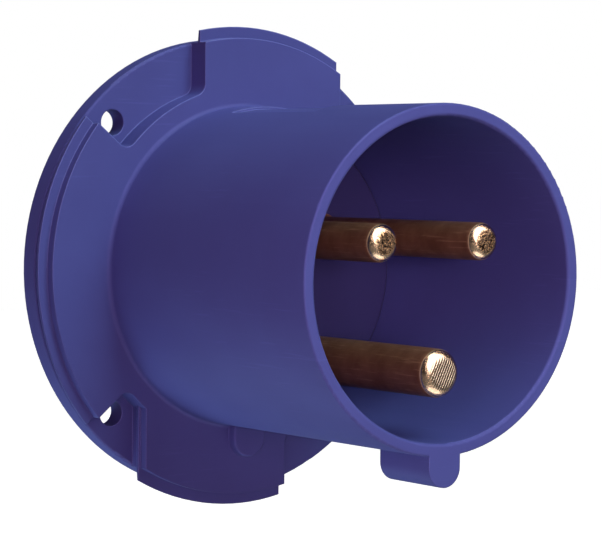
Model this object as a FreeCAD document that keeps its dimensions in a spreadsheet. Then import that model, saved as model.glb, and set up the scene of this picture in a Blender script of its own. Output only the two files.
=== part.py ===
import FreeCAD, Part
import math
import os
import Sketcher

os.makedirs("parts", exist_ok=True)

Vector = FreeCAD.Vector
Rotation = FreeCAD.Rotation
Placement = FreeCAD.Placement

# Driving sizes in millimetres and degrees
# Heights are measured forward from the flange's back face
SIZES = {
    # shroud
    "shroud_length": 64.8,
    "shroud_radius": 28.5,
    "shroud_wall": 2.13,
    "shroud_draft": 0.15,
    "bore_draft": 0.3,
    "shroud_root_fillet": 0.8,
    "rim_outer_fillet": 0.35,
    "rim_inner_fillet": 0.6,
    "key_half_width": 3.2,
    "key_drop": 5.1,
    "key_bury": 0.9,
    "key_length": 12.8,
    "mark_start": 15.2,
    "mark_length": 24.6,
    "mark_angle": 33.0,
    "mark_depth": 0.35,
    "cut_overrun": 1.0,
    # widths across the flange, from the bore outwards
    "seat_step": 1.23,
    "plate_step": 4.8,
    "plate_clearance": 0.2,
    "root_wall": 1.4,
    "core_width": 3.4,
    "core_wall": 1.3,
    "groove_width": 1.3,
    "land_width": 1.0,
    # relief on the flange's face
    "floor_height": 3.7,
    "plate_edge_fillet": 0.5,
    "ledge_rise": 2.7,
    "face_rise": 1.8,
    "ring_step": 3.8,
    "sector_step": 1.0,
    "sector_ledge_step": 0.6,
    "sector_lip": 0.8,
    "sector_angle": 79.2,
    "sector_middle": 180.4,
    "lip_thickness": 0.7,
    "lip_taper": 0.4,
    "lobe_lip": 2.1,
    "lobe_short_side": 9.0,
    "lobe_long_side": 21.4,
    "lobe_side_step": 0.4,
    "lobe_root": 12.3,
    "corner_radius": 2.2,
    "hole_radius": 2.3,
    "hole_margin": 0.34,
    "stop_half_width": 3.4,
    "stop_over": 2.0,
    "stop_bury": 0.5,
    "stop_height": 1.8,
    "stop_edge_fillet": 0.4,
    # hollows in the flange's back
    "core_roof": 3.0,
    "core_sector_angle": 66.0,
    "core_lobe_angle": 30.0,
    "core_lobe_middle": 80.0,
    "groove_depth": 1.5,
    "gasket_clearance": 0.1,
    # seats at the back of the bore
    "plate_depth": 2.4,
    "seat_depth": 4.6,
    "seat_clearance": 0.2,
    "lug_half_width": 2.0,
    "lug_over": 1.2,
    "lug_bury": 2.6,
    # contact carrier
    "carrier_reach": 10.0,
    "carrier_clearance": 0.17,
    "carrier_chamfer": 0.5,
    # pins
    "line_radius": 3.15,
    "earth_radius": 4.0,
    "pin_spread": 10.5,
    "line_height": 6.0,
    "earth_drop": 15.15,
    "line_recess": 2.5,
    "earth_recess": 0.5,
    "line_round": 1.9,
    "earth_round": 2.1,
    "shoulder_step": 0.6,
    "shoulder_stand": 0.3,
    "pin_clearance": 0.05,
    "collar_step": 0.8,
    "collar_thickness": 4.0,
    "collar_clearance": 0.1,
    "wire_bore_radius": 2.4,
    "wire_bore_stop": 2.0,
    "barrel_wall": 2.6,
    "barrel_length": 14.0,
    "barrel_clearance": 0.15,
    # terminal screws
    "terminal_screw_place": 5.5,
    "terminal_thread_radius": 1.95,
    "terminal_tip_gap": 0.2,
    "terminal_screw_stand": 2.0,
    "terminal_head_step": 1.45,
    "terminal_head_thickness": 2.6,
    "terminal_slot_width": 1.0,
    "terminal_slot_depth": 1.1,
    # terminal plate's barrier
    "barrier_over": 1.0,
    "barrier_inset": 10.4,
    "barrier_half_thickness": 0.9,
    # plate screws
    "plate_screw_radius": 1.25,
    "plate_hole_step": 0.35,
    "plate_head_step": 1.05,
    "plate_head_margin": 0.4,
    "plate_head_height": 1.1,
    "plate_screw_grip": 4.0,
    "pilot_room": 0.6,
    "plate_slot_width": 0.8,
    "plate_slot_depth": 0.6,
}

# Sizes that follow from the driving ones, each a sum of names above or before it
FOLLOWING = {
    "bore_radius": "shroud_radius - shroud_wall",
    "seat_radius": "bore_radius + seat_step",
    "plate_radius": "seat_radius + plate_step",
    "root_radius": "plate_radius + plate_clearance + root_wall",
    "core_radius": "root_radius + core_width",
    "groove_inner_radius": "core_radius + core_wall",
    "groove_outer_radius": "groove_inner_radius + groove_width",
    "flange_radius": "groove_outer_radius + land_width",
    "ring_radius": "shroud_radius + ring_step",
    "sector_radius": "flange_radius - sector_step",
    "sector_lip_radius": "flange_radius + sector_lip",
    "lobe_lip_radius": "flange_radius + lobe_lip",
    "lobe_inner_side": "ring_radius - lobe_root",
    "hole_circle": "groove_inner_radius - hole_margin - hole_radius",
    "ledge_height": "floor_height + ledge_rise",
    "face_height": "ledge_height + face_rise",
    "core_depth": "face_height - core_roof",
    "seat_height": "plate_depth + seat_depth",
    "carrier_height": "seat_height + carrier_reach",
    "carrier_radius": "bore_radius - bore_draft - carrier_clearance",
    "key_reach": "shroud_radius + key_drop",
    "key_root": "shroud_radius - key_bury",
    "stop_reach": "ring_radius + stop_over",
    "stop_root": "shroud_radius - stop_bury",
    "lug_reach": "seat_radius + lug_over",
    "lug_root": "seat_radius - lug_bury",
    "line_tip": "shroud_length - line_recess",
    "earth_tip": "shroud_length - earth_recess",
    "barrel_radius": "wire_bore_radius + barrel_wall",
    "collar_radius": "barrel_radius + collar_step",
    "wire_bore_depth": "barrel_length - wire_bore_stop",
    "terminal_hole_radius": "terminal_thread_radius + pin_clearance",
    "terminal_head_radius": "terminal_thread_radius + terminal_head_step",
    "terminal_screw_tip": "wire_bore_radius + terminal_tip_gap",
    "terminal_screw_shank": "barrel_radius + terminal_screw_stand - terminal_screw_tip",
    "barrier_length": "barrel_length + barrier_over",
    "barrier_reach": "plate_radius - barrier_inset",
    "plate_hole_radius": "plate_screw_radius + plate_hole_step",
    "plate_head_radius": "plate_screw_radius + plate_head_step",
    "plate_screw_place": "plate_radius - plate_head_radius - plate_head_margin",
    "plate_screw_length": "plate_depth + plate_screw_grip",
}

FORWARD = Rotation(Vector(1, 0, 0), 90)
ABOUT_AXIS = Vector(0, 0, 1)

# How near two lengths are when they are taken as the same
SAME = 0.05

doc = FreeCAD.newDocument("appliance_plug")
sheet = doc.addObject("Spreadsheet::Sheet", "Sizes")
for row, (name, number) in enumerate(SIZES.items(), start=1):
    sheet.set("A%d" % row, name)
    sheet.set("B%d" % row, str(number))
    sheet.setAlias("B%d" % row, name)
for row, (name, rule) in enumerate(FOLLOWING.items(), start=len(SIZES) + 1):
    sheet.set("A%d" % row, name)
    sheet.set("B%d" % row, "=" + rule)
    sheet.setAlias("B%d" % row, name)
doc.recompute()


def size_of(word):
    if word in FOLLOWING:
        return worth(FOLLOWING[word])
    return SIZES[word] if word in SIZES else float(word)


def worth(text):
    """The number that a sum of size names stands for, such as 'a + b - c'."""
    total = 0.0
    sign = 1.0
    for word in text.split():
        if word == "+":
            sign = 1.0
        elif word == "-":
            sign = -1.0
        else:
            total += sign * size_of(word)
    return total


def in_sheet(text):
    """The same sum, written for the document's expressions."""
    named = [*SIZES, *FOLLOWING]
    return " ".join("Sizes." + word if word in named else word for word in text.split())


def bind(thing, prop, text):
    thing.setExpression(prop, in_sheet(text))


def new_body(label):
    body = doc.addObject("PartDesign::Body", label)
    body.Label = label
    return body


def origin_plane(body, role):
    return [plane for plane in body.Origin.OriginFeatures if plane.Role == role][0]


def attach(feature, body, role="XY_Plane", height=None, turn=0.0):
    """Lay a feature on one of the body's own planes, raised by a height and turned about the axis."""
    feature.AttachmentSupport = [(origin_plane(body, role), "")]
    feature.MapMode = "FlatFace"
    lift = worth(height) if height else 0.0
    feature.AttachmentOffset = Placement(Vector(0, 0, lift), Rotation(ABOUT_AXIS, turn))
    if height:
        bind(feature, "AttachmentOffset.Base.z", height)


def new_sketch(body, name, role="XY_Plane", height=None, turn=0.0):
    sketch = body.newObject("Sketcher::SketchObject", name)
    attach(sketch, body, role, height, turn)
    return sketch


def hold(sketch, kind, *where, text):
    """Add a measured constraint and bind it to the sheet."""
    index = sketch.addConstraint(Sketcher.Constraint(kind, *where, worth(text)))
    bind(sketch, "Constraints[%d]" % index, text)


def place_point(sketch, piece, end, across, up):
    """Hold a sketch point at its two distances from the origin; '0' puts it on an axis."""
    for kind, text, axis in (("DistanceX", across, -2), ("DistanceY", up, -1)):
        if text == "0":
            sketch.addConstraint(Sketcher.Constraint("PointOnObject", piece, end, axis))
        else:
            hold(sketch, kind, -1, 1, piece, end, text=text)


def outline(sketch, corners):
    """A closed outline of straight edges through corners given as sums of sizes."""
    spots = [Vector(worth(across), worth(up), 0) for across, up in corners]
    count = len(spots)
    for index in range(count):
        sketch.addGeometry(Part.LineSegment(spots[index], spots[(index + 1) % count]), False)
    for index in range(count):
        sketch.addConstraint(Sketcher.Constraint("Coincident", index, 2, (index + 1) % count, 1))
    for index, (across, up) in enumerate(corners):
        place_point(sketch, index, 1, across, up)


def circle(sketch, radius, across="0", up="0"):
    centre = Vector(worth(across), worth(up), 0)
    index = sketch.addGeometry(Part.Circle(centre, Vector(0, 0, 1), worth(radius)), False)
    if across == "0" and up == "0":
        sketch.addConstraint(Sketcher.Constraint("Coincident", index, 3, -1, 1))
    else:
        place_point(sketch, index, 3, across, up)
    hold(sketch, "Radius", index, text=radius)


def tongue(sketch, half_width, root, reach):
    """A tongue that points along +Y: two straight sides and a full round end."""
    half = worth(half_width)
    low = worth(root)
    shoulder = worth(reach) - half
    sketch.addGeometry(Part.LineSegment(Vector(half, low, 0), Vector(half, shoulder, 0)), False)
    end = Part.ArcOfCircle(Part.Circle(Vector(0, shoulder, 0), Vector(0, 0, 1), half), 0, math.pi)
    sketch.addGeometry(end, False)
    sketch.addGeometry(Part.LineSegment(Vector(-half, shoulder, 0), Vector(-half, low, 0)), False)
    sketch.addGeometry(Part.LineSegment(Vector(-half, low, 0), Vector(half, low, 0)), False)
    sketch.addConstraint(Sketcher.Constraint("Tangent", 0, 2, 1, 1))
    sketch.addConstraint(Sketcher.Constraint("Tangent", 1, 2, 2, 1))
    sketch.addConstraint(Sketcher.Constraint("Coincident", 2, 2, 3, 1))
    sketch.addConstraint(Sketcher.Constraint("Coincident", 3, 2, 0, 1))
    sketch.addConstraint(Sketcher.Constraint("Vertical", 0))
    sketch.addConstraint(Sketcher.Constraint("Horizontal", 3))
    sketch.addConstraint(Sketcher.Constraint("PointOnObject", 1, 3, -2))
    hold(sketch, "Radius", 1, text=half_width)
    hold(sketch, "DistanceY", -1, 1, 1, 3, text="%s - %s" % (reach, half_width))
    hold(sketch, "DistanceY", -1, 1, 0, 1, text=root)


def lobe_outline(sketch, radius, long_side):
    """A lobe at the top: two upright sides, a curved outer edge and a straight inner edge."""
    short = -worth("lobe_short_side")
    long = worth(long_side)
    low = worth("lobe_inner_side")
    outer = worth(radius)
    top_right = Vector(long, math.sqrt(outer ** 2 - long ** 2), 0)
    top_left = Vector(short, math.sqrt(outer ** 2 - short ** 2), 0)
    sketch.addGeometry(Part.LineSegment(Vector(long, low, 0), top_right), False)
    start = math.atan2(top_right.y, top_right.x)
    stop = math.atan2(top_left.y, top_left.x)
    curve = Part.ArcOfCircle(Part.Circle(Vector(0, 0, 0), Vector(0, 0, 1), outer), start, stop)
    sketch.addGeometry(curve, False)
    sketch.addGeometry(Part.LineSegment(top_left, Vector(short, low, 0)), False)
    sketch.addGeometry(Part.LineSegment(Vector(short, low, 0), Vector(long, low, 0)), False)
    for index in range(4):
        sketch.addConstraint(Sketcher.Constraint("Coincident", index, 2, (index + 1) % 4, 1))
    sketch.addConstraint(Sketcher.Constraint("Vertical", 0))
    sketch.addConstraint(Sketcher.Constraint("Vertical", 2))
    sketch.addConstraint(Sketcher.Constraint("Horizontal", 3))
    sketch.addConstraint(Sketcher.Constraint("Coincident", 1, 3, -1, 1))
    hold(sketch, "Radius", 1, text=radius)
    hold(sketch, "DistanceX", -1, 1, 0, 1, text=long_side)
    hold(sketch, "DistanceX", 2, 2, -1, 1, text="lobe_short_side")
    hold(sketch, "DistanceY", -1, 1, 0, 1, text="lobe_inner_side")


def extrude(body, kind, sketch, name, length, reverse=False):
    """Pad or pocket a sketch by a length, forward when reverse is set on a pocket."""
    feature = body.newObject("PartDesign::" + kind, name)
    feature.Profile = sketch
    feature.Length = worth(length)
    bind(feature, "Length", length)
    feature.Reversed = reverse
    sketch.Visibility = False
    return feature


def turn_profile(body, kind, name, corners):
    """Revolve or groove a profile of radius and height corners about the axis."""
    sketch = new_sketch(body, name + "_profile", "XZ_Plane")
    outline(sketch, corners)
    feature = body.newObject("PartDesign::" + kind, name)
    feature.Profile = sketch
    feature.ReferenceAxis = (sketch, ["V_Axis"])
    feature.Angle = 360.0
    return feature


def wedge(body, kind, name, radius, height, angle=None, middle=None, base=None):
    """A cylinder, or a slice of one with its middle turned to an angle measured from +X."""
    feature = body.newObject("PartDesign::" + kind, name)
    attach(feature, body, "XY_Plane", base)
    feature.Radius = worth(radius)
    feature.Height = worth(height)
    bind(feature, "Radius", radius)
    bind(feature, "Height", height)
    if angle:
        feature.Angle = worth(angle)
        bind(feature, "Angle", angle)
        turn = Rotation(ABOUT_AXIS, worth(middle) - worth(angle) / 2)
        feature.AttachmentOffset = Placement(feature.AttachmentOffset.Base, turn)
        bind(feature, "AttachmentOffset.Rotation.Angle", "%s - %s / 2" % (middle, angle))
    return feature


def around(body, name, features, count):
    """Repeat features evenly round the axis and make the pattern the body's tip."""
    pattern = body.newObject("PartDesign::PolarPattern", name)
    pattern.Originals = features
    pattern.Axis = (origin_axis(body, "Z_Axis"), [""])
    pattern.Angle = 360.0
    pattern.Occurrences = count
    body.Tip = pattern
    return pattern


def origin_axis(body, role):
    return [axis for axis in body.Origin.OriginFeatures if axis.Role == role][0]


def edges_where(feature, test):
    """Names of a feature's edges that a test picks."""
    doc.recompute()
    return ["Edge%d" % (index + 1) for index, edge in enumerate(feature.Shape.Edges) if test(edge)]


def round_edges(body, name, feature, names, radius):
    fillet = body.newObject("PartDesign::Fillet", name)
    fillet.Base = (feature, names)
    fillet.Radius = worth(radius)
    bind(fillet, "Radius", radius)
    return fillet


def is_ring(edge, radius, height):
    """A circular edge about the axis at a radius and height."""
    if not isinstance(edge.Curve, Part.Circle):
        return False
    centre = edge.Curve.Center
    on_axis = math.hypot(centre.x, centre.y) < SAME
    return on_axis and abs(edge.Curve.Radius - radius) < SAME and abs(centre.z - height) < SAME


def stand(thing, across=None, back=None, up=None):
    """Turn a piece's own axis to face forward, along -Y, and move it to its place."""
    thing.Placement = Placement(Vector(0, 0, 0), FORWARD)
    for prop, text in (("x", across), ("y", back), ("z", up)):
        if text:
            bind(thing, "Placement.Base." + prop, text)


def make_flange(body):
    """Plate, raised sectors and lobes with their thin lips, and the ring round the shroud."""
    plate = wedge(body, "AdditiveCylinder", "plate", "flange_radius", "floor_height")
    front = edges_where(plate, lambda edge: is_ring(edge, worth("flange_radius"),
                                                    worth("floor_height")))
    round_edges(body, "plate_edge", plate, front, "plate_edge_fillet")
    lip_base = "ledge_height - lip_thickness"
    spread = ("sector_angle", "sector_middle")
    sector = wedge(body, "AdditiveCylinder", "sector", "sector_radius", "face_height", *spread)
    ledge = wedge(body, "AdditiveCylinder", "sector_ledge", "flange_radius - sector_ledge_step",
                  "ledge_height", *spread)
    lip = wedge(body, "AdditiveCylinder", "sector_lip", "sector_lip_radius", "lip_thickness",
                *spread, lip_base)
    around(body, "sectors", [sector, ledge, lip], 2)

    lobe_sketch = new_sketch(body, "lobe_sketch")
    lobe_outline(lobe_sketch, "flange_radius", "lobe_long_side - lobe_side_step")
    lobe = extrude(body, "Pad", lobe_sketch, "lobe", "face_height")
    lobe_lip_sketch = new_sketch(body, "lobe_lip_sketch", height=lip_base)
    lobe_outline(lobe_lip_sketch, "lobe_lip_radius", "lobe_long_side")
    lobe_lip = extrude(body, "Pad", lobe_lip_sketch, "lobe_lip", "lip_thickness")
    around(body, "lobes", [lobe, lobe_lip], 2)

    turn_profile(body, "Groove", "lip_taper", [
        ("flange_radius", lip_base),
        ("lobe_lip_radius + cut_overrun", lip_base + " - cut_overrun"),
        ("lobe_lip_radius + cut_overrun", lip_base + " + lip_taper")])

    sector_core = wedge(body, "SubtractiveCylinder", "sector_core", "core_radius", "core_depth",
                        "core_sector_angle", "sector_middle")
    lobe_core = wedge(body, "SubtractiveCylinder", "lobe_core", "core_radius", "core_depth",
                      "core_lobe_angle", "core_lobe_middle")
    around(body, "cores", [sector_core, lobe_core], 2)
    wedge(body, "AdditiveCylinder", "root", "root_radius", "floor_height")
    ring = wedge(body, "AdditiveCylinder", "ring", "ring_radius", "face_height")

    def is_pocket_corner(edge):
        box = edge.BoundBox
        upright = box.XLength < SAME and box.YLength < SAME
        full = abs(box.ZLength - worth("face_height - floor_height")) < SAME
        at_ring = abs(math.hypot(box.XMin, box.YMin) - worth("ring_radius")) < SAME
        return upright and full and at_ring

    corners = edges_where(ring, is_pocket_corner)
    round_edges(body, "pocket_corners", ring, corners, "corner_radius")


def make_shroud(body):
    """Tapered tube with its root fillet, key nose, marking field and stepped bore."""
    tube = turn_profile(body, "Revolution", "tube", [
        ("0", "0"), ("shroud_radius + shroud_draft", "0"),
        ("shroud_radius", "shroud_length"), ("0", "shroud_length")])
    root_radius = worth("shroud_radius + shroud_draft")
    root_radius -= worth("shroud_draft") * worth("face_height") / worth("shroud_length")
    root = edges_where(tube, lambda edge: is_ring(edge, root_radius, worth("face_height")))
    rooted = round_edges(body, "shroud_root", tube, root, "shroud_root_fillet")
    rim = edges_where(rooted, lambda edge: is_ring(edge, worth("shroud_radius"),
                                                   worth("shroud_length")))
    round_edges(body, "rim_outer", rooted, rim, "rim_outer_fillet")

    key_sketch = new_sketch(body, "key_sketch", height="shroud_length - key_length", turn=180)
    tongue(key_sketch, "key_half_width", "key_root", "key_reach")
    extrude(body, "Pad", key_sketch, "key", "key_length")

    stop_sketch = new_sketch(body, "stop_sketch", height="face_height", turn=180)
    tongue(stop_sketch, "stop_half_width", "stop_root", "stop_reach")
    stop = extrude(body, "Pad", stop_sketch, "stop", "stop_height")

    def is_stop_edge(edge):
        box = edge.BoundBox
        at_top = abs(box.ZMin - worth("face_height + stop_height")) < SAME and box.ZLength < SAME
        low = box.YMax < -worth("shroud_radius") * 0.9
        return at_top and low and abs(box.YMin) > worth("shroud_radius + cut_overrun")

    stop_edges = edges_where(stop, is_stop_edge)
    round_edges(body, "stop_edges", stop, stop_edges, "stop_edge_fillet")

    bore = turn_profile(body, "Groove", "bore", [
        ("0", "0"), ("plate_radius + plate_clearance", "0"),
        ("plate_radius + plate_clearance", "plate_depth"), ("seat_radius", "plate_depth"),
        ("seat_radius", "seat_height"), ("bore_radius - bore_draft", "seat_height"),
        ("bore_radius", "shroud_length"), ("0", "shroud_length")])
    lip = edges_where(bore, lambda edge: is_ring(edge, worth("bore_radius"),
                                                 worth("shroud_length")))
    round_edges(body, "rim_inner", bore, lip, "rim_inner_fillet")


def make_marking_field(body):
    """A shallow sunk field along the top of the shroud, left bare."""
    sketch = new_sketch(body, "mark_sketch", height="mark_start")
    half = math.radians(worth("mark_angle") / 2)
    inner = worth("shroud_radius - mark_depth")
    outer = worth("shroud_radius + cut_overrun")
    start = math.pi / 2 - half
    stop = math.pi / 2 + half
    spots = [Vector(radius * math.cos(angle), radius * math.sin(angle), 0)
             for radius, angle in ((inner, start), (outer, start), (outer, stop), (inner, stop))]
    low = Part.ArcOfCircle(Part.Circle(Vector(0, 0, 0), Vector(0, 0, 1), inner), start, stop)
    high = Part.ArcOfCircle(Part.Circle(Vector(0, 0, 0), Vector(0, 0, 1), outer), start, stop)
    sketch.addGeometry(low, False)
    sketch.addGeometry(high, False)
    sketch.addGeometry(Part.LineSegment(spots[0], spots[1]), False)
    sketch.addGeometry(Part.LineSegment(spots[3], spots[2]), False)
    for curve in (0, 1):
        sketch.addConstraint(Sketcher.Constraint("Coincident", curve, 3, -1, 1))
    for side, end in ((2, 1), (3, 2)):
        sketch.addConstraint(Sketcher.Constraint("Coincident", side, 1, 0, end))
        sketch.addConstraint(Sketcher.Constraint("Coincident", side, 2, 1, end))
        sketch.addConstraint(Sketcher.Constraint("PointOnObject", -1, 1, side))
    hold(sketch, "Radius", 0, text="shroud_radius - mark_depth")
    hold(sketch, "Radius", 1, text="shroud_radius + cut_overrun")
    sketch.addConstraint(Sketcher.Constraint("Horizontal", 1, 1, 1, 2))
    width = sketch.addConstraint(Sketcher.Constraint("DistanceX", 1, 2, 1, 1,
                                                     spots[1].x - spots[2].x))
    sketch.setExpression("Constraints[%d]" % width,
                         "2 * (Sizes.shroud_radius + Sizes.cut_overrun)"
                         " * sin(Sizes.mark_angle / 2 * 1 deg)")
    extrude(body, "Pocket", sketch, "marking_field", "mark_length", reverse=True)


def make_seats_and_holes(body):
    """Mounting holes, seal groove, pilots for the plate screws and the carrier's slot."""
    hole_sketch = new_sketch(body, "hole_sketch", turn=45)
    circle(hole_sketch, "hole_radius", "0", "hole_circle")
    hole = extrude(body, "Pocket", hole_sketch, "hole", "face_height", reverse=True)
    around(body, "holes", [hole], 4)

    groove_sketch = new_sketch(body, "groove_sketch")
    circle(groove_sketch, "groove_inner_radius")
    circle(groove_sketch, "groove_outer_radius")
    extrude(body, "Pocket", groove_sketch, "seal_groove", "groove_depth", reverse=True)

    pilot_sketch = new_sketch(body, "pilot_sketch", height="plate_depth")
    circle(pilot_sketch, "plate_screw_radius", "0", "plate_screw_place")
    pilot = extrude(body, "Pocket", pilot_sketch, "pilot", "plate_screw_grip + pilot_room",
                    reverse=True)
    around(body, "pilots", [pilot], 3)

    slot_sketch = new_sketch(body, "slot_sketch", height="plate_depth", turn=180)
    outline(slot_sketch, [
        ("0 - lug_half_width - pin_clearance", "lug_root"),
        ("lug_half_width + pin_clearance", "lug_root"),
        ("lug_half_width + pin_clearance", "lug_reach + seat_clearance"),
        ("0 - lug_half_width - pin_clearance", "lug_reach + seat_clearance")])
    extrude(body, "Pocket", slot_sketch, "lug_slot", "seat_height - plate_depth", reverse=True)


def make_housing():
    body = new_body("housing")
    make_flange(body)
    make_shroud(body)
    make_marking_field(body)
    make_seats_and_holes(body)
    stand(body)
    return body


def make_carrier():
    """Insert with the shroud's floor, a seat flange, a lug and the three stepped pin holes."""
    body = new_body("contact_carrier")
    puck = turn_profile(body, "Revolution", "puck", [
        ("0", "plate_depth"), ("seat_radius - seat_clearance", "plate_depth"),
        ("seat_radius - seat_clearance", "seat_height"), ("carrier_radius", "seat_height"),
        ("carrier_radius", "carrier_height - carrier_chamfer"),
        ("carrier_radius - carrier_chamfer", "carrier_height"), ("0", "carrier_height")])
    lug_sketch = new_sketch(body, "lug_sketch", height="plate_depth", turn=180)
    outline(lug_sketch, [
        ("0 - lug_half_width", "lug_root"), ("lug_half_width", "lug_root"),
        ("lug_half_width", "lug_reach"), ("0 - lug_half_width", "lug_reach")])
    extrude(body, "Pad", lug_sketch, "lug", "seat_height - plate_depth")

    for name, radius, across, up, turn in PIN_PLACES:
        for part, size, length in (("bore", radius + " + shoulder_step + pin_clearance",
                                    "carrier_height"),
                                   ("counterbore", "collar_radius + collar_clearance",
                                    "collar_thickness")):
            sketch = new_sketch(body, "%s_%s_sketch" % (name, part), height="plate_depth", turn=turn)
            circle(sketch, size, across, up)
            extrude(body, "Pocket", sketch, "%s_%s" % (name, part), length, reverse=True)
    stand(body)
    return body


def make_terminal_plate():
    """Rear plate with barrel holes, countersunk screw holes and a three-armed barrier."""
    body = new_body("terminal_plate")
    wedge(body, "AdditiveCylinder", "disc", "plate_radius", "plate_depth")
    arm_sketch = new_sketch(body, "arm_sketch")
    outline(arm_sketch, [
        ("0 - barrier_half_thickness", "0 - barrier_half_thickness"),
        ("barrier_half_thickness", "0 - barrier_half_thickness"),
        ("barrier_half_thickness", "barrier_reach"),
        ("0 - barrier_half_thickness", "barrier_reach")])
    arm = extrude(body, "Pad", arm_sketch, "arm", "barrier_length", reverse=True)
    around(body, "barrier", [arm], 3)

    for name, _, across, up, turn in PIN_PLACES:
        sketch = new_sketch(body, name + "_barrel_sketch", turn=turn)
        circle(sketch, "barrel_radius + barrel_clearance", across, up)
        extrude(body, "Pocket", sketch, name + "_barrel_hole", "plate_depth", reverse=True)

    hole_sketch = new_sketch(body, "screw_hole_sketch")
    circle(hole_sketch, "plate_hole_radius", "0", "plate_screw_place")
    hole = extrude(body, "Pocket", hole_sketch, "screw_hole", "plate_depth", reverse=True)
    sink = body.newObject("PartDesign::SubtractiveCone", "screw_sink")
    attach(sink, body)
    bind(sink, "AttachmentOffset.Base.y", "plate_screw_place")
    for prop, text in (("Radius1", "plate_head_radius"), ("Radius2", "plate_screw_radius"),
                       ("Height", "plate_head_height")):
        bind(sink, prop, text)
    around(body, "screw_holes", [hole, sink], 3)
    stand(body)
    return body


def make_pin(label, radius, tip, tip_round, across, up, screw_turn):
    """Turned pin with a rounded tip, a shoulder and collar, and a rear barrel bored and tapped."""
    body = new_body(label)
    start = "barrel_length"
    collar_back = start + " + plate_depth"
    collar_front = collar_back + " + collar_thickness"
    shoulder = radius + " + shoulder_step"
    shoulder_end = start + " + carrier_height + shoulder_stand"
    end = start + " + " + tip
    turned = turn_profile(body, "Revolution", "turned", [
        ("0", "0"), ("barrel_radius", "0"), ("barrel_radius", collar_back),
        ("collar_radius", collar_back), ("collar_radius", collar_front),
        (shoulder, collar_front), (shoulder, shoulder_end), (radius, shoulder_end),
        (radius, end), ("0", end)])
    tip_edge = edges_where(turned, lambda edge: is_ring(edge, worth(radius), worth(end)))
    round_edges(body, "tip", turned, tip_edge, tip_round)

    bore_sketch = new_sketch(body, "wire_bore_sketch")
    circle(bore_sketch, "wire_bore_radius")
    extrude(body, "Pocket", bore_sketch, "wire_bore", "wire_bore_depth", reverse=True)

    tap = body.newObject("PartDesign::SubtractiveCylinder", "screw_hole")
    attach(tap, body)
    bind(tap, "Radius", "terminal_hole_radius")
    bind(tap, "Height", "barrel_radius + barrel_clearance")
    tap.AttachmentOffset = Placement(Vector(0, 0, worth("terminal_screw_place")),
                                     Rotation(ABOUT_AXIS, screw_turn).multiply(
                                         Rotation(Vector(0, 1, 0), 90)))
    bind(tap, "AttachmentOffset.Base.z", "terminal_screw_place")
    stand(body, across, "barrel_length", up)
    return body


def screw_part(name, head, head_thickness, shank, shank_length, slot_width, slot_depth, flat=True):
    """A slotted screw along +Z, its head's outer face at zero and its shank forward."""
    top = doc.addObject("Part::Cone", name + "_head")
    for prop, text in (("Radius1", head), ("Radius2", head if flat else shank),
                       ("Height", head_thickness)):
        bind(top, prop, text)
    stem = doc.addObject("Part::Cylinder", name + "_shank")
    bind(stem, "Radius", shank)
    bind(stem, "Height", head_thickness + " + " + shank_length)
    whole = doc.addObject("Part::Fuse", name + "_solid")
    whole.Base = top
    whole.Tool = stem
    slot = doc.addObject("Part::Box", name + "_slot")
    slot.setExpression("Length", "2 * (Sizes.%s + Sizes.cut_overrun)" % head)
    bind(slot, "Width", slot_width)
    bind(slot, "Height", slot_depth)
    slot.setExpression("Placement.Base.x", "-Sizes.%s - Sizes.cut_overrun" % head)
    slot.setExpression("Placement.Base.y", "-Sizes.%s / 2" % slot_width)
    cut = doc.addObject("Part::Cut", name)
    cut.Base = whole
    cut.Tool = slot
    return cut


def make_plate_screws():
    """Three countersunk screws that hold the terminal plate to the housing."""
    screw = screw_part("plate_screw", "plate_head_radius", "plate_head_height",
                       "plate_screw_radius", "plate_screw_length - plate_head_height",
                       "plate_slot_width", "plate_slot_depth", flat=False)
    doc.recompute()
    group = doc.addObject("Part::Feature", "plate_screws")
    group.Label = "plate_screws"
    solids = []
    for turn in (0, 120, 240):
        copy = screw.Shape.copy()
        copy.Placement = Placement(Vector(0, worth("plate_screw_place"), 0), Rotation(ABOUT_AXIS, 0))
        copy.rotate(Vector(0, 0, 0), ABOUT_AXIS, turn)
        solids.append(copy)
    group.Shape = Part.makeCompound(solids)
    group.Placement = Placement(Vector(0, 0, 0), FORWARD)
    return group


def make_terminal_screws():
    """Three slotted screws that stand out of the rear barrels, backed off for the wire."""
    screw = screw_part("terminal_screw", "terminal_head_radius", "terminal_head_thickness",
                       "terminal_thread_radius", "terminal_screw_shank",
                       "terminal_slot_width", "terminal_slot_depth")
    doc.recompute()
    group = doc.addObject("Part::Feature", "terminal_screws")
    group.Label = "terminal_screws"
    out = worth("terminal_screw_tip + terminal_screw_shank + terminal_head_thickness")
    height = worth("terminal_screw_place - barrel_length")
    solids = []
    for across, up, turn in SCREW_PLACES:
        copy = screw.Shape.copy()
        direction = math.radians(turn)
        head = Vector(worth(across) + out * math.cos(direction),
                      worth(up) + out * math.sin(direction), height)
        inward = Rotation(Vector(0, 0, 1), Vector(-math.cos(direction), -math.sin(direction), 0))
        copy.Placement = Placement(head, inward)
        solids.append(copy)
    group.Shape = Part.makeCompound(solids)
    group.Placement = Placement(Vector(0, 0, 0), FORWARD)
    return group


def make_gasket():
    """Ring seal that fills the groove in the flange's back, flush with the face."""
    outer = doc.addObject("Part::Cylinder", "gasket_outer")
    bind(outer, "Radius", "groove_outer_radius - gasket_clearance")
    bind(outer, "Height", "groove_depth")
    inner = doc.addObject("Part::Cylinder", "gasket_inner")
    bind(inner, "Radius", "groove_inner_radius + gasket_clearance")
    bind(inner, "Height", "groove_depth")
    ring = doc.addObject("Part::Cut", "flange_gasket")
    ring.Label = "flange_gasket"
    ring.Base = outer
    ring.Tool = inner
    stand(ring)
    return ring


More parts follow.
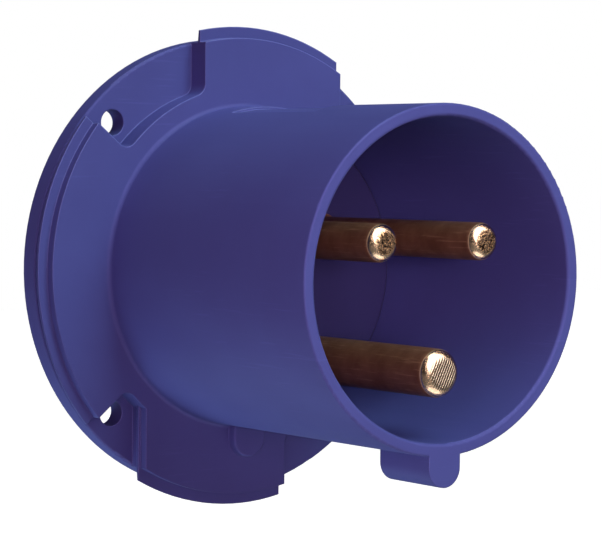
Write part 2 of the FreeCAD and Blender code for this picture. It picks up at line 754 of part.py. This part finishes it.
# Each pin hole: name, pin radius, distance across and up in its own sketch, and the sketch's turn
PIN_PLACES = [
    ("line", "line_radius", "0 - pin_spread", "line_height", 0),
    ("neutral", "line_radius", "pin_spread", "line_height", 0),
    ("earth", "earth_radius", "0", "earth_drop", 180),
]

# Each terminal screw: its pin's place across and up, and the way its head faces
SCREW_PLACES = [
    ("0 - pin_spread", "line_height", 180),
    ("pin_spread", "line_height", 0),
    ("0", "0 - earth_drop", 270),
]

pieces = [
    make_housing(),
    make_carrier(),
    make_terminal_plate(),
    make_pin("line_pin", "line_radius", "line_tip", "line_round",
             "0 - pin_spread", "line_height", 180),
    make_pin("neutral_pin", "line_radius", "line_tip", "line_round",
             "pin_spread", "line_height", 0),
    make_pin("earth_pin", "earth_radius", "earth_tip", "earth_round",
             None, "0 - earth_drop", 270),
    make_plate_screws(),
    make_terminal_screws(),
    make_gasket(),
]
doc.recompute()

for thing in doc.Objects:
    if "Invalid" in thing.State or "Error" in thing.State:
        raise RuntimeError("%s failed to build: %s" % (thing.Name, thing.State))

for piece in pieces:
    shape = piece.Shape
    if shape.isNull() or not shape.isValid():
        raise RuntimeError("%s has no valid shape" % piece.Label)
    print("%-16s solids %d volume %9.1f" % (piece.Label, len(shape.Solids), shape.Volume))
    shape.exportStep("parts/%s.step" % piece.Label)
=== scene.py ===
import math
import bpy
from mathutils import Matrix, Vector


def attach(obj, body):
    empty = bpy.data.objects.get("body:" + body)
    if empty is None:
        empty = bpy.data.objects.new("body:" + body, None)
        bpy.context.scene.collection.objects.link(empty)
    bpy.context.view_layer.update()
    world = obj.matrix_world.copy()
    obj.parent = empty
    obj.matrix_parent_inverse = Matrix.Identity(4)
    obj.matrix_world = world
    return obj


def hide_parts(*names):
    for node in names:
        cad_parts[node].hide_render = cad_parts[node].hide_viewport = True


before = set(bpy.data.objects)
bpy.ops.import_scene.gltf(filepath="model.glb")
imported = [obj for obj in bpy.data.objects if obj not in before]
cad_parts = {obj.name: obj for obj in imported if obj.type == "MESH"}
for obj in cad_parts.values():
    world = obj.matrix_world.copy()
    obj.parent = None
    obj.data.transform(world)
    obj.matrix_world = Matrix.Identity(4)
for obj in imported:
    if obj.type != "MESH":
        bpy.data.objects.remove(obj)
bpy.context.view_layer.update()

MM = 0.001

# How far forward of the flange's back each pin's rounding starts and ends, in millimetres
LINE_TIP = (60.4, 62.3)
EARTH_TIP = (62.2, 64.3)

# How many millimetres past the start of its rounding a tip begins to be bright and is fully
# so, and how many before its end it begins to be worn and is fully so
BRIGHT_FROM, BRIGHT_FULL = 0.6, 0.9
WORN_FROM, WORN_FULL = 0.22, 0.04

# The saw's ridges on the earth pin's end: their step, how X and Z make up their slant, and
# their height beside the grain
RIDGE_STEP = 0.46 * MM
RIDGE_X, RIDGE_Z = 0.90, -0.44
RIDGE_HEIGHT = 3.0

# Pits in the brass: their depth beside the grain, and how many there are on a tip's side, on
# a sawn end and on a pitted end
PIT_DEPTH = 2.6
SIDE_PITS, SAWN_PITS, END_PITS = 0.15, 0.25, 0.95

# How much the draw marks show, how metallic the dull shank is, and how much smoother a tip is
MARK_LEVEL = 0.45
SHANK_METAL = 0.45
POLISH = 0.29

# How wide the moulded edges are rounded in shading, and how wide the painted highlights along
# them are
EDGE_ROUND = 0.35 * MM

# Corners nearer than the first are merged, faces that meet flatter than the second are
# joined, and edges sharper than the third stay sharp
SAME_CORNER = 0.004 * MM
SAME_FACE = math.radians(0.6)
SHARP_EDGE = math.radians(28)

# The view of the photograph: from the left of the mouth and a little above
CAMERA_LENS = 140.5
CAMERA_PLACE = (-0.24175, -0.35547, 0.01796)
CAMERA_TURN = (87.495, -0.484, -36.173)

# The floor, and the two places that the metal mirrors brightly: a patch high in front of
# the mouth, given by its direction, and a disc on the floor
FLOOR_LEVEL = -0.22
FLOOR_SIZE = 6.0
BRIGHT_PATCH = (0.05, -0.80, 0.60)
BRIGHT_DISC = (0.03, -0.13, FLOOR_LEVEL)

# The soft rims of the patch, as closeness to its direction, and of the disc, as radii, with
# their levels inside and outside
PATCH_OUTER, PATCH_INNER = 0.72, 0.83
PATCH_LEVEL, AROUND_PATCH = 4.2, 0.03
DISC_INNER, DISC_OUTER = 0.10, 0.14
DISC_LEVEL, AROUND_DISC = 1.8, 0.04

# The faint light that the room itself gives
ROOM_LEVEL = 0.03
ROOM_TINT = (1.0, 0.93, 0.92)

# Where the lamps look
SHROUD_MIDDLE = Vector((0, -0.03, 0))
INSIDE_WALL = Vector((0.017, -0.03, 0))

WHITE = (1.0, 1.0, 1.0)

# Moulded plastics, the lighter and the darker tone of each
HOUSING_TONES = ((0.0575, 0.058, 0.230), (0.0515, 0.050, 0.207))
# The carrier's tones are its own blue darkened to about half the housing's, as painted shade for
# its place deep in the shroud
CARRIER_TONES_SHADED = ((0.030, 0.027, 0.107), (0.027, 0.024, 0.096))
PLATE_TONES = ((0.030, 0.030, 0.034), (0.024, 0.024, 0.027))

# Brass
DULL_SHANK = ((0.120, 0.048, 0.030), (0.180, 0.080, 0.050))
DRAW_MARK = (0.44, 0.25, 0.16)
BRIGHT_TIP = (0.88, 0.60, 0.40)
SAWN_END = (0.17, 0.10, 0.055)
PITTED_END = (0.60, 0.39, 0.23)
# The saw ridges are real bumps; their tops are painted paler than the brass as a painted glint
PAINTED_RIDGE_GLINT = (0.98, 0.84, 0.68)
PIT = (0.07, 0.035, 0.02)

# Plated steel, seal rubber, and the floor as lit and as mirrored in metal
STEEL_TONES = ((0.42, 0.42, 0.43), (0.60, 0.60, 0.60))
RUBBER_TONES = ((0.018, 0.018, 0.02), (0.035, 0.035, 0.037))
FLOOR_TONES = ((0.38, 0.38, 0.37), (0.07, 0.07, 0.07))


# Building blocks of the finishes

def link(tree, start, finish):
    tree.links.new(start, finish)


def new_node(tree, kind, **settings):
    node = tree.nodes.new(kind)
    for name, value in settings.items():
        setattr(node, name, value)
    return node


def new_group(name, inputs, outputs):
    """A shader group with named number inputs and named number outputs."""
    group = bpy.data.node_groups.new(name, "ShaderNodeTree")
    for label, value in inputs:
        socket = group.interface.new_socket(
            name=label, in_out="INPUT", socket_type="NodeSocketFloat")
        socket.default_value = value
    for label in outputs:
        group.interface.new_socket(name=label, in_out="OUTPUT", socket_type="NodeSocketFloat")
    start = group.nodes.new("NodeGroupInput")
    end = group.nodes.new("NodeGroupOutput")
    return group, start, end


def place_group(tree, group, **values):
    """Use a shader group; an underscore in a value's name stands for a space."""
    node = new_node(tree, "ShaderNodeGroup", node_tree=group)
    for name, value in values.items():
        node.inputs[name.replace("_", " ")].default_value = value
    return node


def noise(tree, coordinates, scale, detail, roughness=0.5):
    texture = new_node(tree, "ShaderNodeTexNoise")
    texture.inputs["Detail"].default_value = detail
    texture.inputs["Roughness"].default_value = roughness
    if isinstance(scale, float):
        texture.inputs["Scale"].default_value = scale
    else:
        link(tree, scale, texture.inputs["Scale"])
    link(tree, coordinates, texture.inputs["Vector"])
    return texture.outputs["Fac"]


def spread(tree, value, low, high, to_low=0.0, to_high=1.0):
    """Stretch a value from one range to another and clamp it."""
    ranger = new_node(tree, "ShaderNodeMapRange", clamp=True)
    ranger.inputs["From Min"].default_value = low
    ranger.inputs["From Max"].default_value = high
    ranger.inputs["To Min"].default_value = to_low
    ranger.inputs["To Max"].default_value = to_high
    link(tree, value, ranger.inputs["Value"])
    return ranger.outputs["Result"]


def sums(tree, kind, first, second=0.0):
    """One step of arithmetic with values that may be plain numbers."""
    step = new_node(tree, "ShaderNodeMath", operation=kind)
    for socket, value in zip(step.inputs, (first, second)):
        if isinstance(value, (int, float)):
            socket.default_value = value
        else:
            link(tree, value, socket)
    return step.outputs["Value"]


def object_places(tree):
    """The object's own coordinates, whole and split into X, Y and Z."""
    place = new_node(tree, "ShaderNodeTexCoord")
    split = new_node(tree, "ShaderNodeSeparateXYZ")
    link(tree, place.outputs["Object"], split.inputs["Vector"])
    return place.outputs["Object"], split.outputs


def stretched(tree, axes, **scales):
    """Coordinates with each named axis scaled by itself and the others left at nought."""
    join = new_node(tree, "ShaderNodeCombineXYZ")
    for axis, scale in scales.items():
        link(tree, sums(tree, "MULTIPLY", axes[axis], scale), join.inputs[axis])
    return join.outputs["Vector"]


def two_tones(tree, mask, first, second):
    """A colour that goes from the first to the second with a mask."""
    mix = new_node(tree, "ShaderNodeMix", data_type="RGBA")
    mix.inputs["A"].default_value = (*first, 1.0)
    mix.inputs["B"].default_value = (*second, 1.0)
    link(tree, mask, mix.inputs["Factor"])
    return mix.outputs["Result"]


def mixed_in(tree, mask, under, colour):
    """Lay a plain colour over another one where a mask is white."""
    mix = new_node(tree, "ShaderNodeMix", data_type="RGBA")
    link(tree, mask, mix.inputs["Factor"])
    link(tree, under, mix.inputs["A"])
    mix.inputs["B"].default_value = (*colour, 1.0)
    return mix.outputs["Result"]


def lighter(colour, times, plus):
    return tuple(min(1.0, part * times + plus) for part in colour)


def ray_kinds(tree):
    """Masks for what is seen straight or through clear things, and for what metal mirrors."""
    rays = new_node(tree, "ShaderNodeLightPath")
    seen = sums(tree, "MAXIMUM", rays.outputs["Is Camera Ray"],
                rays.outputs["Is Transmission Ray"])
    return seen, rays.outputs["Is Glossy Ray"]


# Effects that several finishes share

def make_mould_group():
    """Fine spark-eroded grain and slow uneven tone of a moulded face."""
    group, start, end = new_group(
        "moulded face", [("Grain Size", 2600.0), ("Tone Size", 60.0)], ["Grain", "Tone"])
    place, _ = object_places(group)
    grain = noise(group, place, start.outputs["Grain Size"], detail=2.0)
    tone = noise(group, place, start.outputs["Tone Size"], detail=4.0, roughness=0.55)
    link(group, grain, end.inputs["Grain"])
    link(group, spread(group, tone, 0.3, 0.7), end.inputs["Tone"])
    return group


def make_scuff_group():
    """Short hair scratches that lie one way, thinned out by a patchy mask."""
    group, start, end = new_group(
        "scuffs", [("Length", 90.0), ("Fineness", 2400.0), ("Amount", 0.5)], ["Scuff"])
    place, axes = object_places(group)
    along = start.outputs["Length"]
    hair_places = stretched(group, axes, X=along, Y=along, Z=start.outputs["Fineness"])
    hairs = spread(group, noise(group, hair_places, scale=1.0, detail=2.0), 0.62, 0.72)
    patches = spread(group, noise(group, place, scale=45.0, detail=2.0), 0.5, 0.62)
    both = sums(group, "MULTIPLY", hairs, patches)
    link(group, sums(group, "MULTIPLY", both, start.outputs["Amount"]), end.inputs["Scuff"])
    return group


def make_turned_group():
    """Fine rings that a lathe tool leaves, one after another along Y, and a slow stain."""
    group, start, end = new_group(
        "turned rings", [("Rings", 5200.0), ("Wander", 0.3)], ["Rings", "Stain"])
    place, axes = object_places(group)
    ring_places = stretched(group, axes, Y=start.outputs["Rings"])
    rings = noise(group, ring_places, scale=1.0, detail=2.0, roughness=0.6)
    stain = noise(group, place, scale=240.0, detail=4.0, roughness=0.6)
    wander = sums(group, "MULTIPLY", stain, start.outputs["Wander"])
    link(group, sums(group, "ADD", rings, wander), end.inputs["Rings"])
    link(group, spread(group, stain, 0.35, 0.68), end.inputs["Stain"])
    return group


def make_speck_group():
    """Small pits that dot a worn metal end, and fine draw marks along Y."""
    group, start, end = new_group("specks", [("Speck Size", 3300.0)], ["Specks", "Draw Marks"])
    place, axes = object_places(group)
    dots = noise(group, place, start.outputs["Speck Size"], detail=2.0, roughness=0.6)
    link(group, spread(group, dots, 0.46, 0.54), end.inputs["Specks"])
    mark_places = stretched(group, axes, X=2600.0, Y=110.0, Z=2600.0)
    marks = noise(group, mark_places, scale=1.0, detail=3.0, roughness=0.65)
    link(group, spread(group, marks, 0.56, 0.72), end.inputs["Draw Marks"])
    return group


MOULD = make_mould_group()
SCUFF = make_scuff_group()
TURNED = make_turned_group()
SPECKS = make_speck_group()


# Finishes

def new_material(name):
    material = bpy.data.materials.new(name)
    material.use_nodes = True
    tree = material.node_tree
    return material, tree, tree.nodes["Principled BSDF"]


def add_bump(tree, surface, height, strength, distance):
    bump = new_node(tree, "ShaderNodeBump")
    bump.inputs["Strength"].default_value = strength
    bump.inputs["Distance"].default_value = distance
    link(tree, height, bump.inputs["Height"])
    link(tree, bump.outputs["Normal"], surface.inputs["Normal"])
    return bump


def painted_edge_highlight(tree, rounded):
    """A mask for painted highlights on rounded edges: full on those that face up and faint on
    those that face down.
    """
    shape = new_node(tree, "ShaderNodeNewGeometry")
    turn = new_node(tree, "ShaderNodeVectorMath", operation="DOT_PRODUCT")
    link(tree, rounded, turn.inputs[0])
    link(tree, shape.outputs["Normal"], turn.inputs[1])
    facing = new_node(tree, "ShaderNodeSeparateXYZ")
    link(tree, rounded, facing.inputs["Vector"])
    upward = spread(tree, facing.outputs["Z"], low=-0.25, high=0.35, to_low=0.1)
    bent = spread(tree, turn.outputs["Value"], low=0.95, high=0.80)
    return sums(tree, "MULTIPLY", bent, upward)


def plastic(name, tones, dark_rough, light_rough):
    """Moulded plastic: two near tones, satin grain, painted highlights on edges that face up, a
    few hair scratches.
    """
    light, dark = tones
    material, tree, surface = new_material(name)
    face = place_group(tree, MOULD, Grain_Size=2600.0, Tone_Size=60.0)
    marks = place_group(tree, SCUFF, Amount=0.12)
    tone = two_tones(tree, face.outputs["Tone"], dark, light)
    scratch_tone = lighter(light, times=1.7, plus=0.03)
    scratched = mixed_in(tree, marks.outputs["Scuff"], tone, scratch_tone)
    edges = new_node(tree, "ShaderNodeBevel", samples=6)
    edges.inputs["Radius"].default_value = EDGE_ROUND
    painted_highlight = painted_edge_highlight(tree, edges.outputs["Normal"])
    # Painted highlight: a lighter blue laid on edges where they bend, strongest on those facing
    # up
    with_painted_highlight = mixed_in(tree, painted_highlight, scratched, lighter(light, times=1.9, plus=0.06))
    link(tree, with_painted_highlight, surface.inputs["Base Color"])
    rough = spread(tree, face.outputs["Tone"], 0.0, 1.0, dark_rough, light_rough)
    link(tree, rough, surface.inputs["Roughness"])
    surface.inputs["Specular IOR Level"].default_value = 0.15
    height = sums(tree, "SUBTRACT", face.outputs["Grain"], marks.outputs["Scuff"])
    bump = add_bump(tree, surface, height, strength=0.12, distance=0.06 * MM)
    link(tree, edges.outputs["Normal"], bump.inputs["Normal"])
    return material


def saw_ridges(tree, axes, on_end):
    """A mask for the slanting ridges that a saw leaves on a pin's end."""
    slanted = sums(tree, "ADD", sums(tree, "MULTIPLY", axes["X"], RIDGE_X),
                   sums(tree, "MULTIPLY", axes["Z"], RIDGE_Z))
    wave = sums(tree, "SINE", sums(tree, "MULTIPLY", slanted, 2 * math.pi / RIDGE_STEP))
    return sums(tree, "MULTIPLY", spread(tree, wave, 0.0, 0.7), on_end)


def brass(name, tip, sawn):
    """Turned brass: a dull brown shank, a bright rounded tip with a pitted end, or a sawn end
    whose ridges carry a painted glint.
    """
    tip_start, tip_end = tip
    material, tree, surface = new_material(name)
    turned = place_group(tree, TURNED)
    wear = place_group(tree, SPECKS)
    _, axes = object_places(tree)
    forward = sums(tree, "MULTIPLY", axes["Y"], -1.0)
    on_tip = spread(tree, forward, (tip_start + BRIGHT_FROM) * MM, (tip_start + BRIGHT_FULL) * MM)
    on_end = spread(tree, forward, (tip_end - WORN_FROM) * MM, (tip_end - WORN_FULL) * MM)
    on_shank = sums(tree, "SUBTRACT", 1.0, on_tip)

    shank = two_tones(tree, turned.outputs["Stain"], *DULL_SHANK)
    marks = sums(tree, "MULTIPLY", wear.outputs["Draw Marks"], MARK_LEVEL)
    shank = mixed_in(tree, marks, shank, DRAW_MARK)
    bright = mixed_in(tree, on_tip, shank, BRIGHT_TIP)
    ended = mixed_in(tree, on_end, bright, SAWN_END if sawn else PITTED_END)
    height = sums(tree, "MULTIPLY", turned.outputs["Rings"], on_shank)
    if sawn:
        ridges = saw_ridges(tree, axes, on_end)
        # Painted glint: the ridge tops get a pale colour on top of their bump
        ended = mixed_in(tree, ridges, ended, PAINTED_RIDGE_GLINT)
        height = sums(tree, "ADD", height, sums(tree, "MULTIPLY", ridges, RIDGE_HEIGHT))
    pitted = spread(tree, on_end, 0.0, 1.0, SIDE_PITS, SAWN_PITS if sawn else END_PITS)
    pits = sums(tree, "MULTIPLY", wear.outputs["Specks"], pitted)
    pits = sums(tree, "MULTIPLY", pits, on_tip)
    link(tree, mixed_in(tree, pits, ended, PIT), surface.inputs["Base Color"])

    link(tree, spread(tree, on_tip, 0.0, 1.0, SHANK_METAL, 1.0), surface.inputs["Metallic"])
    dull = spread(tree, turned.outputs["Stain"], 0.0, 1.0, 0.52, 0.40)
    polish = sums(tree, "MULTIPLY", on_tip, -POLISH)
    link(tree, sums(tree, "ADD", dull, polish), surface.inputs["Roughness"])
    height = sums(tree, "SUBTRACT", height, sums(tree, "MULTIPLY", pits, PIT_DEPTH))
    add_bump(tree, surface, height, strength=0.6, distance=0.04 * MM)
    return material


def steel(name):
    """Zinc-plated steel with a faint stain and fine turned rings."""
    material, tree, surface = new_material(name)
    turned = place_group(tree, TURNED, Rings=3000.0)
    colour = two_tones(tree, turned.outputs["Stain"], *STEEL_TONES)
    link(tree, colour, surface.inputs["Base Color"])
    surface.inputs["Metallic"].default_value = 0.7
    rough = spread(tree, turned.outputs["Stain"], 0.0, 1.0, 0.45, 0.28)
    link(tree, rough, surface.inputs["Roughness"])
    add_bump(tree, surface, turned.outputs["Rings"], strength=0.3, distance=0.03 * MM)
    return material


def rubber(name):
    """Matt black rubber with a coarser grain than the mouldings."""
    material, tree, surface = new_material(name)
    face = place_group(tree, MOULD, Grain_Size=1800.0, Tone_Size=120.0)
    colour = two_tones(tree, face.outputs["Tone"], *RUBBER_TONES)
    link(tree, colour, surface.inputs["Base Color"])
    rough = spread(tree, face.outputs["Tone"], 0.0, 1.0, 0.6, 0.75)
    link(tree, rough, surface.inputs["Roughness"])
    add_bump(tree, surface, face.outputs["Grain"], strength=0.3, distance=0.05 * MM)
    return material


# Pieces

def take_hold(thing):
    """Make one object the only one selected."""
    bpy.ops.object.select_all(action="DESELECT")
    bpy.context.view_layer.objects.active = thing
    thing.select_set(True)


def smooth_over(node, name, material):
    """Stand in for a moulded node: its own form with joined faces and clean flat faces."""
    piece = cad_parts[node].copy()
    piece.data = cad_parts[node].data.copy()
    piece.name = name
    piece.parent = None
    for key in list(piece.keys()):
        del piece[key]
    bpy.context.scene.collection.objects.link(piece)
    take_hold(piece)
    bpy.ops.mesh.customdata_custom_splitnormals_clear()
    bpy.ops.object.mode_set(mode="EDIT")
    bpy.ops.mesh.select_all(action="SELECT")
    bpy.ops.mesh.remove_doubles(threshold=SAME_CORNER)
    bpy.ops.mesh.dissolve_limited(angle_limit=SAME_FACE)
    bpy.ops.object.mode_set(mode="OBJECT")
    bpy.ops.object.shade_smooth_by_angle(angle=SHARP_EDGE)
    even = piece.modifiers.new("even normals", "WEIGHTED_NORMAL")
    even.keep_sharp = True
    bpy.ops.object.modifier_apply(modifier=even.name)
    piece.data.materials.clear()
    piece.data.materials.append(material)
    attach(piece, "root")
    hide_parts(node)


def dress(node, material):
    """Give a CAD node its finish."""
    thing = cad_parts[node]
    if not thing.material_slots:
        thing.data.materials.append(material)
    for slot in thing.material_slots:
        slot.material = material


# Studio

def make_stage():
    """Plain pale floor well below the plug, white to the camera; metal sees one bright disc."""
    bpy.ops.object.select_all(action="DESELECT")
    bpy.ops.mesh.primitive_plane_add(size=FLOOR_SIZE, location=(0, 0, FLOOR_LEVEL))
    floor = bpy.context.object
    floor.name = "floor"
    bpy.ops.object.transform_apply(location=True, rotation=True, scale=True)
    material, tree, surface = new_material("pale floor")
    surface.inputs["Roughness"].default_value = 0.7
    seen, mirrored = ray_kinds(tree)
    link(tree, two_tones(tree, mirrored, *FLOOR_TONES), surface.inputs["Base Color"])
    place, _ = object_places(tree)
    reach = new_node(tree, "ShaderNodeVectorMath", operation="DISTANCE")
    link(tree, place, reach.inputs[0])
    reach.inputs[1].default_value = BRIGHT_DISC
    disc = spread(tree, reach.outputs["Value"], DISC_INNER, DISC_OUTER, DISC_LEVEL, AROUND_DISC)
    glow = sums(tree, "ADD", seen, sums(tree, "MULTIPLY", mirrored, disc))
    link(tree, glow, surface.inputs["Emission Strength"])
    surface.inputs["Emission Color"].default_value = (*WHITE, 1.0)
    floor.data.materials.append(material)


def make_world():
    """Plain white to the camera, faint as light, and with one bright patch for the metal."""
    world = bpy.data.worlds.new("studio")
    bpy.context.scene.world = world
    world.use_nodes = True
    tree = world.node_tree
    tree.nodes.clear()
    out = new_node(tree, "ShaderNodeOutputWorld")
    place = new_node(tree, "ShaderNodeTexCoord")
    facing = new_node(tree, "ShaderNodeVectorMath", operation="DOT_PRODUCT")
    link(tree, place.outputs["Generated"], facing.inputs[0])
    facing.inputs[1].default_value = BRIGHT_PATCH
    patch = spread(tree, facing.outputs["Value"],
                   PATCH_OUTER, PATCH_INNER, AROUND_PATCH, PATCH_LEVEL)
    seen, mirrored = ray_kinds(tree)
    soft = new_node(tree, "ShaderNodeBackground")
    soft.inputs["Color"].default_value = (*ROOM_TINT, 1.0)
    level = sums(tree, "ADD", sums(tree, "MULTIPLY", mirrored, patch), ROOM_LEVEL)
    link(tree, level, soft.inputs["Strength"])
    white = new_node(tree, "ShaderNodeBackground")
    white.inputs["Color"].default_value = (*WHITE, 1.0)
    mix = new_node(tree, "ShaderNodeMixShader")
    link(tree, seen, mix.inputs["Fac"])
    link(tree, soft.outputs["Background"], mix.inputs[1])
    link(tree, white.outputs["Background"], mix.inputs[2])
    link(tree, mix.outputs["Shader"], out.inputs["Surface"])


def put_camera():
    data = bpy.data.cameras.new("camera")
    data.lens = CAMERA_LENS
    data.sensor_width = 36.0
    data.clip_start = 0.01
    camera = bpy.data.objects.new("camera", data)
    bpy.context.scene.collection.objects.link(camera)
    camera.location = CAMERA_PLACE
    camera.rotation_euler = [math.radians(turn) for turn in CAMERA_TURN]
    bpy.context.scene.camera = camera


def hang_lamp(data, place, away, mirrored):
    """Hang a lamp with its back to the given direction."""
    lamp = bpy.data.objects.new(data.name, data)
    bpy.context.scene.collection.objects.link(lamp)
    lamp.location = place
    lamp.rotation_euler = away.to_track_quat("Z", "Y").to_euler()
    lamp.visible_glossy = mirrored


def soft_box(name, direction, distance, width, height, watts, colour, mirrored):
    """A rectangular lamp that faces the shroud; most aren't mirrored in the metal."""
    data = bpy.data.lights.new(name, "AREA")
    data.shape = "RECTANGLE"
    data.size = width
    data.size_y = height
    data.energy = watts
    data.color = colour
    away = Vector(direction).normalized()
    hang_lamp(data, SHROUD_MIDDLE + away * distance, away, mirrored)


def mouth_lamp():
    """A narrow soft lamp that looks into the shroud from the camera's side."""
    data = bpy.data.lights.new("mouth lamp", "SPOT")
    data.spot_size = math.radians(9.5)
    data.spot_blend = 0.6
    data.shadow_soft_size = 0.03
    data.energy = 4.6
    data.color = (1.0, 0.80, 0.84)
    place = Vector((-0.16, -0.36, 0.02))
    hang_lamp(data, place, place - INSIDE_WALL, False)


make_stage()
make_world()
put_camera()

# Name, direction from the shroud, distance, width, height, watts, colour, mirrored in metal
for box in (
        ("key box", (0.09, -0.76, 0.64), 0.7, 0.35, 0.35, 4.95, (0.61, 1.0, 0.82), False),
        ("top box", (0.0, -0.1, 1.0), 0.9, 0.5, 0.5, 3.4, (0.80, 0.97, 1.0), True),
        ("front box", (-0.5, -0.86, 0.08), 0.9, 0.4, 0.4, 3.45, (1.0, 0.57, 0.61), False),
        ("side box", (-1.0, -0.15, 0.1), 0.9, 0.5, 0.5, 1.20, (1.0, 0.50, 0.66), False),
        ("low box", (-0.42, 0.40, -0.81), 0.20, 0.2, 0.12, 0.30, (0.68, 1.0, 0.97), False),
        ("back box", (0.66, 0.75, 0.04), 0.9, 0.5, 0.5, 3.2, (1.0, 0.92, 0.90), False)):
    soft_box(*box)
mouth_lamp()

blue = plastic("blue moulding", HOUSING_TONES, dark_rough=0.46, light_rough=0.54)
# This material carries painted shade: the carrier sits deep in the shroud
carrier_blue_shaded = plastic("carrier moulding", CARRIER_TONES_SHADED, dark_rough=0.48, light_rough=0.56)
dark = plastic("terminal plate moulding", PLATE_TONES, dark_rough=0.45, light_rough=0.55)
line_brass = brass("line pin brass", LINE_TIP, sawn=False)
earth_brass = brass("earth pin brass", EARTH_TIP, sawn=True)
plated = steel("plated steel")
seal = rubber("seal rubber")

smooth_over("housing", "housing_moulding", blue)
smooth_over("contact_carrier", "carrier_moulding", carrier_blue_shaded)
smooth_over("terminal_plate", "plate_moulding", dark)
dress("line_pin", line_brass)
dress("neutral_pin", line_brass)
dress("earth_pin", earth_brass)
dress("plate_screws", plated)
dress("terminal_screws", plated)
dress("flange_gasket", seal)

bpy.context.scene.view_settings.view_transform = "Standard"
